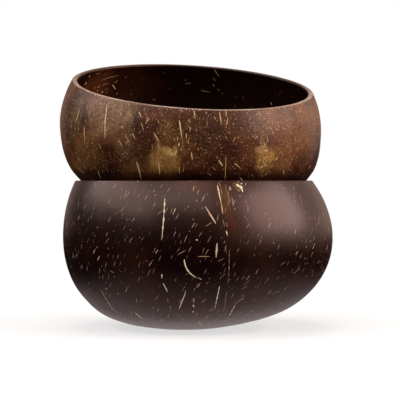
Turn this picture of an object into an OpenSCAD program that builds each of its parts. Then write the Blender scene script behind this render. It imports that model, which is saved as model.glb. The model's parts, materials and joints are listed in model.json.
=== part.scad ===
// A nested pair of coconut shell bowls. Each is one hard shell, cut open above
// its belly, polished, and sanded flat underneath so that it stands. The upper
// bowl rests in the mouth of the lower one and leans towards the front (-Y).
// The origin is the centre of the lower bowl's flat foot, with +Z up.

/* [Lower bowl] */
// Outer diameter at the belly, the widest place
lower_belly_d = 138; // [132:0.5:144]
// How far the cut rim draws in from the belly
lower_rim_inset = 8.5; // [6:0.25:11]
// Height of the rim above the belly
lower_rim_rise = 29.5; // [25:0.5:34]
// Radius of the arc that turns the side in to the bottom
lower_turn_r = 42; // [36:0.5:48]
// How much lower the pole hangs than the turn arc by itself would reach
lower_base_sag = 4.6; // [3:0.1:9]

/* [Upper bowl] */
// How much wider its belly is than the lower bowl's rim
upper_belly_over = 13.5; // [9:0.5:17]
// How far the cut rim draws in from the belly
upper_rim_inset = 5.75; // [3:0.25:8]
// Height of the rim above the belly
upper_rim_rise = 22; // [18:0.5:26]
// Radius of the arc that turns the side in to the bottom
upper_turn_r = 43; // [39:0.5:48]
// How much lower the pole hangs than the turn arc by itself would reach
upper_base_sag = 3.1; // [2.6:0.1:8]

/* [Shell] */
// Thickness of the shell wall
wall = 2.8; // [2:0.1:4]
// Extra thickness that the shell has at its pole
pole_extra = 1.2; // [0:0.1:2.5]
// Depth that is sanded away to make the flat foot
foot_sanded = 1.1; // [0.4:0.1:2]
// Radius of the eased edges of the rim
rim_ease = 0.8; // [0.3:0.05:0.95]

/* [Nesting] */
// How far the upper bowl leans out of level
lean = 14.5; // [0:0.5:18]
// The way it leans, round from straight ahead towards the right
lean_heading = 14; // [-90:1:90]
// Clearance between the upper bowl and the rim that carries it
seat_gap = 0.2; // [0.1:0.05:0.5]

/* [Hidden] */
$fn = 180;

// A bowl's sizes travel together in one list, read by these names. The upper
// bowl takes its width from the rim that carries it.
LOWER = [lower_belly_d / 2, lower_rim_inset, lower_rim_rise, lower_turn_r, lower_base_sag];
UPPER = [
    belly_r(LOWER) - rim_inset(LOWER) + upper_belly_over / 2,
    upper_rim_inset, upper_rim_rise, upper_turn_r, upper_base_sag,
];
function belly_r(bowl) = bowl[0];
function rim_inset(bowl) = bowl[1];
function rim_rise(bowl) = bowl[2];
function turn_r(bowl) = bowl[3];
function base_sag(bowl) = bowl[4];
function pole_drop(bowl) = turn_r(bowl) + base_sag(bowl);
function foot_drop(bowl) = pole_drop(bowl) - foot_sanded;

// The profile is three arcs, drawn with the belly at height zero. The lip arc
// runs up from the belly to the rim, the turn arc runs down from the belly, and
// the base arc, centred on the axis, runs on smoothly from it to the pole.
function lip_arc_r(bowl) =
    (pow(rim_inset(bowl), 2) + pow(rim_rise(bowl), 2)) / (2 * rim_inset(bowl));
function lip_arc_x(bowl) = belly_r(bowl) - lip_arc_r(bowl);
function turn_arc_x(bowl) = belly_r(bowl) - turn_r(bowl);

// Height of the centre of an arc on the axis that reaches down to depth and is
// tangent to the turn arc of radius r.
function base_arc_z(x, r, depth) = (x * x - (depth - r) * (depth - r)) / (2 * (depth - r));

// Centres of the two small arcs that ease the rim's outer and inner edges.
function outer_ease_x(bowl) =
    lip_arc_x(bowl) + sqrt(pow(lip_arc_r(bowl) - rim_ease, 2) - pow(ease_z(bowl), 2));
function inner_ease_x(bowl) =
    lip_arc_x(bowl) + sqrt(pow(lip_arc_r(bowl) - wall + rim_ease, 2) - pow(ease_z(bowl), 2));
function ease_z(bowl) = rim_rise(bowl) - rim_ease;

// The half outline of the closed nut, drawn inset from its outer surface.
module nut_outline(bowl, inset = 0, pole_inset = 0) {
    lip_r = lip_arc_r(bowl) - inset;
    turn = turn_r(bowl) - inset;
    turn_x = turn_arc_x(bowl);
    depth = pole_drop(bowl) - inset - pole_inset;
    base_z = base_arc_z(turn_x, turn, depth);
    reach = 2 * belly_r(bowl);
    // above the belly
    intersection() {
        translate([lip_arc_x(bowl), 0]) circle(lip_r);
        square([reach, reach]);
    }
    // the turn below the belly
    intersection() {
        translate([turn_x, 0]) circle(turn);
        translate([0, -reach]) square([reach, reach]);
    }
    // the base, inside the line through the two arcs' centres
    intersection() {
        translate([0, base_z]) circle(base_z + depth);
        polygon([[0, 0], [turn_x, 0], [turn_x * (1 + reach / base_z), -reach], [0, -reach]]);
    }
}

// The half section of a bowl: the wall, cut at the rim and at the foot.
module wall_section(bowl) {
    out_x = outer_ease_x(bowl);
    in_x = inner_ease_x(bowl);
    z = ease_z(bowl);
    reach = 2 * belly_r(bowl);
    far = reach / norm([out_x - lip_arc_x(bowl), z]);
    near = wall / norm([in_x - lip_arc_x(bowl), z]);
    intersection() {
        difference() {
            nut_outline(bowl);
            nut_outline(bowl, wall, pole_extra);
        }
        // below the eased edges, and above the sanded foot
        polygon([
            [0, z - near * z],
            [in_x - near * (in_x - lip_arc_x(bowl)), z - near * z],
            [in_x, z],
            [out_x, z],
            [out_x + far * (out_x - lip_arc_x(bowl)), z + far * z],
            [reach, -foot_drop(bowl)],
            [0, -foot_drop(bowl)],
        ]);
    }
    translate([in_x, z]) square([out_x - in_x, rim_ease]);
    translate([in_x, z]) circle(rim_ease);
    translate([out_x, z]) circle(rim_ease);
}

// A bowl about its own axis, with its belly at height zero.
module shell(bowl) {
    rotate_extrude() wall_section(bowl);
}

// Seating. The upper bowl's turn arc, swept round its axis, has to clear the
// lower rim's inner edge all round, whatever the lean.
function lean_axis() = [cos(lean_heading), sin(lean_heading), 0];
function lean_ahead() = [sin(lean_heading), -cos(lean_heading), 0];
function to_upper_frame(p) =
    let (axis = lean_axis(), ahead = lean_ahead(), along = p * ahead)
    [p * axis, along * cos(lean) - p[2] * sin(lean), along * sin(lean) + p[2] * cos(lean)];
function turn_gap(p) =
    let (q = to_upper_frame(p))
    norm([norm([q[0], q[1]]) - turn_arc_x(UPPER), q[2]]) - turn_r(UPPER);

// A leaning bowl slides back until it is as near to the rim in front as behind. It
// then bears on the rim at the two sides of its lean.
function seat_slide(height) =
    height * turn_arc_x(UPPER) * sin(lean) / (inner_ease_x(LOWER) - turn_arc_x(UPPER) * cos(lean));
function seat_place(height) = -seat_slide(height) * lean_ahead() + [0, 0, height];
function rim_gap(height) =
    min([for (a = [0:5:355])
        turn_gap(inner_ease_x(LOWER) * [cos(a), sin(a), 0] - seat_place(height))]) - rim_ease;
function seat_height(low, high, steps = 24) =
    let (middle = (low + high) / 2)
    steps == 0 ? middle
    : rim_gap(middle) < seat_gap ? seat_height(middle, high, steps - 1)
    : seat_height(low, middle, steps - 1);

module lower_bowl() {
    color("#33211d") translate([0, 0, foot_drop(LOWER)]) shell(LOWER);
}

module upper_bowl() {
    seat = seat_place(seat_height(0, upper_turn_r));
    color("#5a4130")
        translate([0, 0, foot_drop(LOWER) + ease_z(LOWER)] + seat)
            rotate(a = lean, v = lean_axis())
                shell(UPPER);
}

lower_bowl();
upper_bowl();
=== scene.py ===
"""A nested pair of polished coconut shell bowls, in soft studio light.

Lengths are in metres and angles in degrees, unless a name says otherwise. Each bowl is
modelled about its own axis, with its belly at height zero, and then set in its place.
"""
import json
import logging
import math
import random
from dataclasses import dataclass
from enum import Enum
from typing import Callable, Iterable, Sequence, Union

import bpy
from mathutils import Matrix, Vector
from mathutils.bvhtree import BVHTree


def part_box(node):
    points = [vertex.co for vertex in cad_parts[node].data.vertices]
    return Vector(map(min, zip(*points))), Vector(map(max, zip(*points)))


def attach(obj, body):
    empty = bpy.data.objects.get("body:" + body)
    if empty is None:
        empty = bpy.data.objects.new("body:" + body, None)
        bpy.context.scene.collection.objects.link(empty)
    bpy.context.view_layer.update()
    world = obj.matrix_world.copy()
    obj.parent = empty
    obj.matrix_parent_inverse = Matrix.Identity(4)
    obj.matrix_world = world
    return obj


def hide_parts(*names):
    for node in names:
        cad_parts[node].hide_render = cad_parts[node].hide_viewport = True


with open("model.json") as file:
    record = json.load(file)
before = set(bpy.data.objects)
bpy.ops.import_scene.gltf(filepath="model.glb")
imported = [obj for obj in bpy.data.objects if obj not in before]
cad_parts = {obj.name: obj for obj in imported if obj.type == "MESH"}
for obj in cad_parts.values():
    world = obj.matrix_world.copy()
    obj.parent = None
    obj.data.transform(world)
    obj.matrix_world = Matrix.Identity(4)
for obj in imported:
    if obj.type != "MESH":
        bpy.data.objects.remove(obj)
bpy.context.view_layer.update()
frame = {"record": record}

LOG = logging.getLogger("bowls")
MM = 0.001
Point2 = tuple[float, float]
Triple = tuple[float, float, float]
Colour = tuple[float, float, float, float]

# The belly's radius, as the patterns that run from pole to pole take it
BELLY_MM = 67.0


def tint(hex_code: str) -> Colour:
    """A screen colour as the linear values that a shader takes.

    Args:
        hex_code: six hexadecimal digits.

    Returns:
        Linear red, green and blue, and an alpha of one.
    """
    channels = [int(hex_code[i:i + 2], 16) / 255 for i in (0, 2, 4)]
    linear = (c / 12.92 if c <= 0.04045 else ((c + 0.055) / 1.055) ** 2.4 for c in channels)
    return (*linear, 1.0)


def spaced(start: float, stop: float, steps: int) -> list[float]:
    """Values from start to stop, both counted, in equal steps."""
    return [start + (stop - start) * i / steps for i in range(steps + 1)]


def ease(value: float, low: float, high: float) -> float:
    """Zero below low, one above high, and smooth between them."""
    share = min(1.0, max(0.0, (value - low) / (high - low)))
    return share * share * (3 - 2 * share)


def deselect_all() -> None:
    """Leaves no object selected, so that an operator acts on the next one alone."""
    if bpy.context.object and bpy.context.object.mode != "OBJECT":
        bpy.ops.object.mode_set(mode="OBJECT")
    bpy.ops.object.select_all(action="DESELECT")


class Surface(Enum):
    """The surfaces of a bowl that are finished apart, in the order of its material slots."""

    OUTSIDE = 0
    CUT_RIM = 1
    INSIDE = 2
    FOOT = 3


# Camera and light


@dataclass(frozen=True)
class Viewpoint:
    """The place that the bowls are seen from, level with the lower bowl's rim.

    The pixel fields say where the picture, which is picture_px wide, shows that rim and
    the bowls' axis.
    """

    picture_px: float = 400
    rim_row_px: float = 180.5
    axis_column_px: float = 194.4
    px_per_m: float = 1952
    distance: float = 0.77
    sensor: float = 36

    def stand(self, eye_level: float) -> bpy.types.Object:
        """Adds the camera.

        Args:
            eye_level: height of the lower bowl's rim.

        Returns:
            The camera's object, made the scene's camera.
        """
        focal_px = self.px_per_m * self.distance
        aside = (self.picture_px / 2 - self.axis_column_px) / self.px_per_m
        dip = math.atan((self.picture_px / 2 - self.rim_row_px) / focal_px)
        deselect_all()
        bpy.ops.object.camera_add(
            location=(aside, -self.distance, eye_level), rotation=(math.pi / 2 - dip, 0, 0))
        camera = bpy.context.object
        camera.name = "camera"
        camera.data.sensor_width = self.sensor
        camera.data.lens = self.sensor * focal_px / self.picture_px
        camera.data.dof.use_dof = False
        bpy.context.scene.camera = camera
        bpy.context.view_layer.update()
        return camera

    def ray(self, camera: bpy.types.Object, column: float, row: float) -> tuple[Vector, Vector]:
        """The line of sight through a pixel.

        Args:
            camera: the camera that stand() added.
            column: pixels from the picture's left edge.
            row: pixels from its top edge.

        Returns:
            The eye's place and the direction, of length one.
        """
        focal_px = self.px_per_m * self.distance
        half = self.picture_px / 2
        direction = Vector(((column - half) / focal_px, (half - row) / focal_px, -1))
        turn = camera.matrix_world.to_3x3()
        return camera.matrix_world.translation.copy(), (turn @ direction).normalized()


@dataclass(frozen=True)
class Softbox:
    """A flat studio light that faces the bowls."""

    name: str
    place: Triple
    width: float
    height: float
    watts: float
    colour: Triple = (1.0, 1.0, 1.0)
    aim: Triple = (0.0, 0.0, 0.07)

    def hang(self) -> None:
        """Adds the light."""
        deselect_all()
        bpy.ops.object.light_add(type="AREA", location=self.place)
        lamp = bpy.context.object
        lamp.name = self.name
        lamp.data.shape = "RECTANGLE"
        lamp.data.size = self.width
        lamp.data.size_y = self.height
        lamp.data.energy = self.watts
        lamp.data.color = self.colour
        lamp.visible_camera = False
        away = Vector(self.place) - Vector(self.aim)
        lamp.rotation_euler = away.to_track_quat("Z", "Y").to_euler()


# Shader maths

Operand = Union["Wire", float, tuple]

# The Vector Math operations that give one number
ONE_NUMBER_RESULTS = {"DOT_PRODUCT", "LENGTH"}


@dataclass(frozen=True)
class Wire:
    """A node's output, which shader maths is written with as plain arithmetic."""

    graph: "Graph"
    socket: bpy.types.NodeSocket

    @property
    def is_vector(self) -> bool:
        """Whether the socket carries three numbers."""
        return self.socket.type in {"VECTOR", "RGBA"}

    def __add__(self, other: Operand) -> "Wire":
        """The sum."""
        return self.graph.maths("ADD", self, other)

    def __radd__(self, other: Operand) -> "Wire":
        """The sum, with the wire on the right."""
        return self.graph.maths("ADD", other, self)

    def __sub__(self, other: Operand) -> "Wire":
        """The difference."""
        return self.graph.maths("SUBTRACT", self, other)

    def __rsub__(self, other: Operand) -> "Wire":
        """The difference, with the wire on the right."""
        return self.graph.maths("SUBTRACT", other, self)

    def __mul__(self, other: Operand) -> "Wire":
        """The product."""
        return self.graph.maths("MULTIPLY", self, other)

    def __rmul__(self, other: Operand) -> "Wire":
        """The product, with the wire on the right."""
        return self.graph.maths("MULTIPLY", other, self)

    def __truediv__(self, other: Operand) -> "Wire":
        """The quotient."""
        return self.graph.maths("DIVIDE", self, other)


class Graph:
    """The nodes of a material or of the surround."""

    def __init__(self, holder: bpy.types.Material | bpy.types.World) -> None:
        """Empties the nodes.

        Args:
            holder: what the nodes belong to.
        """
        self.holder = holder
        holder.use_nodes = True
        self.tree = holder.node_tree
        self.tree.nodes.clear()

    def node(self, kind: str, settings: dict | None = None,
             sockets: dict | None = None) -> bpy.types.Node:
        """Adds a node.

        Args:
            kind: the node's type.
            settings: its settings by name; "stops" holds a ramp's places and colours.
            sockets: values or wires, by an input's name or number.

        Returns:
            The node.
        """
        made = self.tree.nodes.new(kind)
        for name, value in (settings or {}).items():
            if name == "stops":
                self._set_stops(made.color_ramp, value)
            else:
                setattr(made, name, value)
        for name, value in (sockets or {}).items():
            socket = made.inputs[name]
            if isinstance(value, Wire):
                self.tree.links.new(value.socket, socket)
            else:
                socket.default_value = value
        return made

    @staticmethod
    def _set_stops(ramp: bpy.types.ColorRamp, stops: Sequence[tuple[float, Colour]]) -> None:
        """Gives a ramp its stops, each a place and a colour."""
        while len(ramp.elements) < len(stops):
            ramp.elements.new(1.0)
        for element, (place, colour) in zip(ramp.elements, stops):
            element.position = place
            element.color = colour

    def wire(self, node: bpy.types.Node, output: int | str = 0) -> Wire:
        """An output of a node, ready for arithmetic."""
        return Wire(self, node.outputs[output])

    def maths(self, operation: str, *operands: Operand) -> Wire:
        """Adds a Math node, or a Vector Math node where an operand has three numbers.

        Args:
            operation: the node's operation.
            operands: wires, numbers or triples.

        Returns:
            The result.
        """
        kind, output = "ShaderNodeMath", "Value"
        if any(isinstance(o, tuple) or (isinstance(o, Wire) and o.is_vector) for o in operands):
            kind = "ShaderNodeVectorMath"
            output = "Value" if operation in ONE_NUMBER_RESULTS else "Vector"
            operands = [(o, o, o) if isinstance(o, (int, float)) else o for o in operands]
        made = self.node(kind, {"operation": operation}, dict(enumerate(operands)))
        return self.wire(made, output)

    def rise(self, value: Operand, low: Operand, high: Operand) -> Wire:
        """Zero below low, one above high, and smooth between them."""
        settings = {"interpolation_type": "SMOOTHSTEP"}
        sockets = {"Value": value, "From Min": low, "From Max": high}
        return self.wire(self.node("ShaderNodeMapRange", settings, sockets))

    def blend(self, share: Operand, under: Wire | Colour, over: Wire | Colour,
              mode: str = "MIX") -> Wire:
        """Lays one colour over another.

        Args:
            share: how much of the upper colour shows, from zero to one.
            under: the colour below.
            over: the colour above.
            mode: the Mix node's blend type.

        Returns:
            The mixed colour.
        """
        settings = {"data_type": "RGBA", "blend_type": mode}
        return self.wire(self.node("ShaderNodeMix", settings, {0: share, 6: under, 7: over}), 2)

    def ramp(self, share: Wire, stops: Sequence[tuple[float, Colour]]) -> Wire:
        """The colour that a row of stops has at a share from zero to one."""
        return self.wire(self.node("ShaderNodeValToRGB", {"stops": stops}, {0: share}))

    def darken(self, colour: Wire, share: float, pattern: Wire,
               stops: Sequence[tuple[float, Colour]]) -> Wire:
        """Multiplies a colour with a pattern's ramp.

        Args:
            colour: the colour below.
            share: how much of the pattern shows, from zero to one.
            pattern: the pattern, from zero to one.
            stops: the colours that the pattern takes.

        Returns:
            The darkened colour.
        """
        return self.blend(share, colour, self.ramp(pattern, stops), "MULTIPLY")

    def attribute(self, name: str, output: str) -> Wire:
        """What a piece's own attribute holds."""
        return self.wire(self.node("ShaderNodeAttribute", {"attribute_name": name}), output)

    def emit(self, colour: Colour, strength: Operand = 1.0) -> bpy.types.Node:
        """Adds a shader that gives off light."""
        return self.node("ShaderNodeEmission", {}, {"Color": colour, "Strength": strength})

    def mix_shaders(self, share: Wire, first: bpy.types.Node,
                    second: bpy.types.Node) -> bpy.types.Node:
        """Mixes two shaders, by how much of the second shows."""
        sockets = {0: share, 1: self.wire(first), 2: self.wire(second)}
        return self.node("ShaderNodeMixShader", {}, sockets)


@dataclass(frozen=True)
class Noise:
    """Soft noise, whose features are about size_mm across.

    It is finer along an axis whose stretch is over one. Where along is set, it runs in
    streaks from pole to pole, as a coconut's fibres do, and along is how fast it changes
    down a streak, beside one round the belly.
    """

    size_mm: float
    detail: float = 2.0
    rough: float = 0.5
    stretch: Triple | None = None
    along: float | None = None


class ShellGraph(Graph):
    """The nodes of a bowl's finish.

    Its patterns follow each point's own place about the belly, in millimetres.
    """

    def __init__(self, name: str) -> None:
        """Starts a material.

        Args:
            name: the material's name.
        """
        super().__init__(bpy.data.materials.new(name))
        self.place = self.attribute("nut", "Vector")

    def noise(self, kind: Noise) -> Wire:
        """Adds noise, from zero to one."""
        place = self.place
        if kind.stretch:
            place = place * kind.stretch
        if kind.along:
            around = self.maths("NORMALIZE", place * (1.0, 1.0, 0.0)) * BELLY_MM
            place = around + place * (0.0, 0.0, kind.along)
        sockets = {"Vector": place, "Scale": 1 / kind.size_mm, "Detail": kind.detail,
                   "Roughness": kind.rough}
        return self.wire(self.node("ShaderNodeTexNoise", {"noise_dimensions": "3D"}, sockets))

    def height(self, upward: Triple) -> Wire:
        """The point's height from the belly's centre, the way that upward points."""
        return self.maths("DOT_PRODUCT", self.place, upward)

    def finish(self, sockets: dict, heights: Sequence[tuple[Wire, float]]) -> bpy.types.Material:
        """Adds the shader and its bumps.

        Args:
            sockets: values or wires of the Principled shader.
            heights: bump heights from zero to one, each with its depth in metres.

        Returns:
            The material.
        """
        for height, depth in heights:
            bump = {"Height": height, "Distance": depth, "Strength": 1.0}
            if "Normal" in sockets:
                bump["Normal"] = sockets["Normal"]
            sockets = {**sockets, "Normal": self.wire(self.node("ShaderNodeBump", {}, bump))}
        shader = self.node("ShaderNodeBsdfPrincipled", {}, sockets)
        self.node("ShaderNodeOutputMaterial", {}, {"Surface": self.wire(shader)})
        return self.holder


@dataclass(frozen=True)
class Dashes:
    """Short fibres that the sanded shell shows as fine spindles, one to a cell."""

    SHORTEST = 0.35
    THINNEST = 0.6
    SOFT_EDGE = 0.35

    cell_mm: float
    length_mm: float
    width_mm: float
    share: float
    slant: float
    scatter: float
    shift_mm: float = 0.0

    def draw(self, graph: ShellGraph) -> tuple[Wire, Wire]:
        """Adds the pattern's nodes.

        Args:
            graph: the material's graph.

        Returns:
            How much a fibre covers the point, and a random number of its own.
        """
        place = graph.place
        moved = place
        if self.shift_mm:
            moved = place + (self.shift_mm,) * 3
        settings = {"voronoi_dimensions": "3D", "feature": "F1"}
        sockets = {"Vector": moved, "Scale": 1 / self.cell_mm}
        cells = graph.node("ShaderNodeTexVoronoi", settings, sockets)
        offset = moved - graph.wire(cells, "Position")
        odds = graph.node("ShaderNodeSeparateColor", {}, {0: graph.wire(cells, "Color")})
        turn_odds, size_odds, show_odds = (graph.wire(odds, i) for i in range(3))
        out = graph.maths("NORMALIZE", place)
        across = graph.maths("NORMALIZE", graph.maths("CROSS_PRODUCT", (0.0, 0.0, 1.0), place))
        up = graph.maths("CROSS_PRODUCT", out, across)
        right_mm = graph.maths("DOT_PRODUCT", offset, across)
        up_mm = graph.maths("DOT_PRODUCT", offset, up)
        angle = math.radians(self.slant) + (turn_odds - 0.5) * math.radians(2 * self.scatter)
        sine, cosine = graph.maths("SINE", angle), graph.maths("COSINE", angle)
        along = up_mm * cosine + right_mm * sine
        aside = graph.maths("ABSOLUTE", right_mm * cosine - up_mm * sine)
        reach = self.length_mm / 2 * (self.SHORTEST + size_odds * (1 - self.SHORTEST))
        taper = 1 - graph.maths("POWER", graph.maths("ABSOLUTE", along / reach), 2.0)
        half_width = self.width_mm / 2 * (self.THINNEST + size_odds * (1 - self.THINNEST))
        body = graph.rise(half_width * taper - aside, 0.0, self.width_mm * self.SOFT_EDGE)
        shown = graph.maths("LESS_THAN", show_odds, self.share)
        return body * shown, size_odds


# The bowls' shape


@dataclass(frozen=True)
class Section:
    """Half section of a bowl about its axis, with the belly at height zero."""

    belly_r: float
    rim_inset: float
    rim_rise: float
    turn_r: float
    base_sag: float
    wall: float = 2.8 * MM
    pole_extra: float = 1.2 * MM
    foot_sanded: float = 1.1 * MM
    rim_ease: float = 0.8 * MM
    foot_ease: float = 0.4 * MM
    foot_disc_inset: float = 2.0 * MM
    pole_cap_r: float = 1.5 * MM
    base_steps: int = 6
    side_steps: int = 11
    lip_steps: int = 6
    outer_ease_steps: int = 3
    inner_ease_steps: int = 5

    @property
    def lip_r(self) -> float:
        """Radius of the arc from the belly up to the rim."""
        return (self.rim_inset ** 2 + self.rim_rise ** 2) / (2 * self.rim_inset)

    @property
    def lip_x(self) -> float:
        """Distance of that arc's centre from the axis."""
        return self.belly_r - self.lip_r

    @property
    def turn_x(self) -> float:
        """Distance from the axis to the centre of the arc below the belly."""
        return self.belly_r - self.turn_r

    @property
    def ease_z(self) -> float:
        """Height at which the rim's edges start to round over."""
        return self.rim_rise - self.rim_ease

    @property
    def foot_drop(self) -> float:
        """Depth of the flat foot below the belly."""
        return self.turn_r + self.base_sag - self.foot_sanded

    @property
    def rim_mid_r(self) -> float:
        """Radius at the middle of the cut rim."""
        return (self.ease_x(self.rim_ease) + self.ease_x(self.wall - self.rim_ease)) / 2

    def ease_x(self, depth: float) -> float:
        """Radius at which the centre of a rounded edge lies, depth inside the wall."""
        return self.lip_x + math.sqrt((self.lip_r - depth) ** 2 - self.ease_z ** 2)

    def base_arc(self, inset: float, pole_inset: float) -> Point2:
        """The arc of the bottom, centred on the axis.

        Args:
            inset: how far inside the outer surface it runs.
            pole_inset: how much further inside it runs at the pole.

        Returns:
            The height of its centre and its radius.
        """
        turn = self.turn_r - inset
        depth = self.turn_r + self.base_sag - inset - pole_inset
        centre_z = (self.turn_x ** 2 - (depth - turn) ** 2) / (2 * (depth - turn))
        return centre_z, centre_z + depth

    def foot_r(self) -> float:
        """Radius of the flat foot."""
        centre_z, radius = self.base_arc(0.0, 0.0)
        return math.sqrt(radius ** 2 - (centre_z + self.foot_drop) ** 2)

    def face(self, inset: float, pole_inset: float, start_r: float,
             lip_depth: float) -> list[Point2]:
        """One face of the wall, from near the pole up to the rim's rounded edge.

        Args:
            inset: how far inside the outer surface the face lies.
            pole_inset: how much further inside it lies at the pole.
            start_r: radius at which it starts.
            lip_depth: depth in the wall of the rounded edge's centre.

        Returns:
            Radii and heights.
        """
        base_z, base_r = self.base_arc(inset, pole_inset)
        turn, lip = self.turn_r - inset, self.lip_r - inset
        join = math.atan2(self.turn_x, base_z)
        stop = math.atan2(self.ease_z, self.ease_x(lip_depth) - self.lip_x)
        base = [(base_r * math.sin(a), base_z - base_r * math.cos(a))
                for a in spaced(math.asin(start_r / base_r), join, self.base_steps)]
        side = [(self.turn_x + turn * math.sin(a), -turn * math.cos(a))
                for a in spaced(join, math.pi / 2, self.side_steps)]
        top = [(self.lip_x + lip * math.cos(a), lip * math.sin(a))
               for a in spaced(0.0, stop, self.lip_steps)]
        return base + side[1:] + top[1:]

    def rings(self) -> list[Point2]:
        """The outline: up the outside from the foot, over the rim, down to the inner pole."""
        foot_r, foot_z = self.foot_r(), -self.foot_drop
        foot = [(foot_r - inset, foot_z) for inset in (self.foot_disc_inset, self.foot_ease)]
        outside = self.face(0.0, 0.0, foot_r + self.foot_ease, self.rim_ease)
        inner_depth = self.wall - self.rim_ease
        inside = self.face(self.wall, self.pole_extra, self.pole_cap_r, inner_depth)
        outer_x, inner_x = self.ease_x(self.rim_ease), self.ease_x(inner_depth)
        start = math.atan2(self.ease_z, outer_x - self.lip_x)
        stop = math.pi + math.atan2(self.ease_z, inner_x - self.lip_x)
        over = self._eased(outer_x, start, math.pi / 2, self.outer_ease_steps)
        down = self._eased(inner_x, math.pi / 2, stop, self.inner_ease_steps)
        return foot + outside + over[1:] + down + inside[-2::-1]

    def _eased(self, centre_x: float, start: float, stop: float, steps: int) -> list[Point2]:
        """A rounded edge of the rim, between two angles."""
        return [(centre_x + self.rim_ease * math.cos(a), self.ease_z + self.rim_ease * math.sin(a))
                for a in spaced(start, stop, steps)]


@dataclass(frozen=True)
class Drift:
    """How far a grown shell strays to the right of a true round, by height above its belly."""

    points: tuple[Point2, ...]

    def at(self, height: float) -> float:
        """The stray at a height, on a smooth curve through the points."""
        points = self.points
        low = max((i for i in range(len(points) - 1) if points[i][0] <= height), default=0)
        (z0, x0), (z1, x1) = points[low], points[low + 1]
        span = z1 - z0
        share = min(1.0, max(0.0, (height - z0) / span))
        rise0, rise1 = self._slope(low) * span, self._slope(low + 1) * span
        bend = share * share * (3 - 2 * share)
        return (x0 + (x1 - x0) * bend + rise0 * share * (1 - share) ** 2
                - rise1 * share ** 2 * (1 - share))

    def _slope(self, index: int) -> float:
        """The curve's slope at one of the points."""
        (z0, x0) = self.points[max(index - 1, 0)]
        (z1, x1) = self.points[min(index + 1, len(self.points) - 1)]
        return (x1 - x0) / (z1 - z0)


@dataclass(frozen=True)
class Bulge:
    """Where the sides of a grown shell are fuller than a true round.

    Heights are measured from the belly's centre, the way that upward points.
    """

    amount: float
    upward: Triple
    begins: Point2
    ends: Point2
    left_only: bool = False

    def share(self, place: Vector) -> float:
        """How much of the bulge a point on the outside has, from zero to one."""
        aside = Vector((place.x, place.y, 0.0)).normalized().x
        if self.left_only and aside > 0:
            return 0.0
        height = place.dot(Vector(self.upward))
        return ease(height, *self.begins) * (1 - ease(height, *self.ends)) * aside * aside


# Long fibres


@dataclass(frozen=True)
class Stroke:
    """A long pale fibre that the polished shell shows, by the pixels that it crosses."""

    pixels: tuple[Point2, ...]
    width_mm: float
    tone: float
    taper: float


@dataclass(frozen=True)
class Strew:
    """Fibres strewn over a shell by chance."""

    count: int
    length_mm: Point2
    width_mm: Point2
    tone: Point2
    slant: float
    scatter: float
    bend: float
    low_angle: float
    high_angle: float
    inside: bool = False
    back_only: bool = False
    front_only: bool = False


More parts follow.
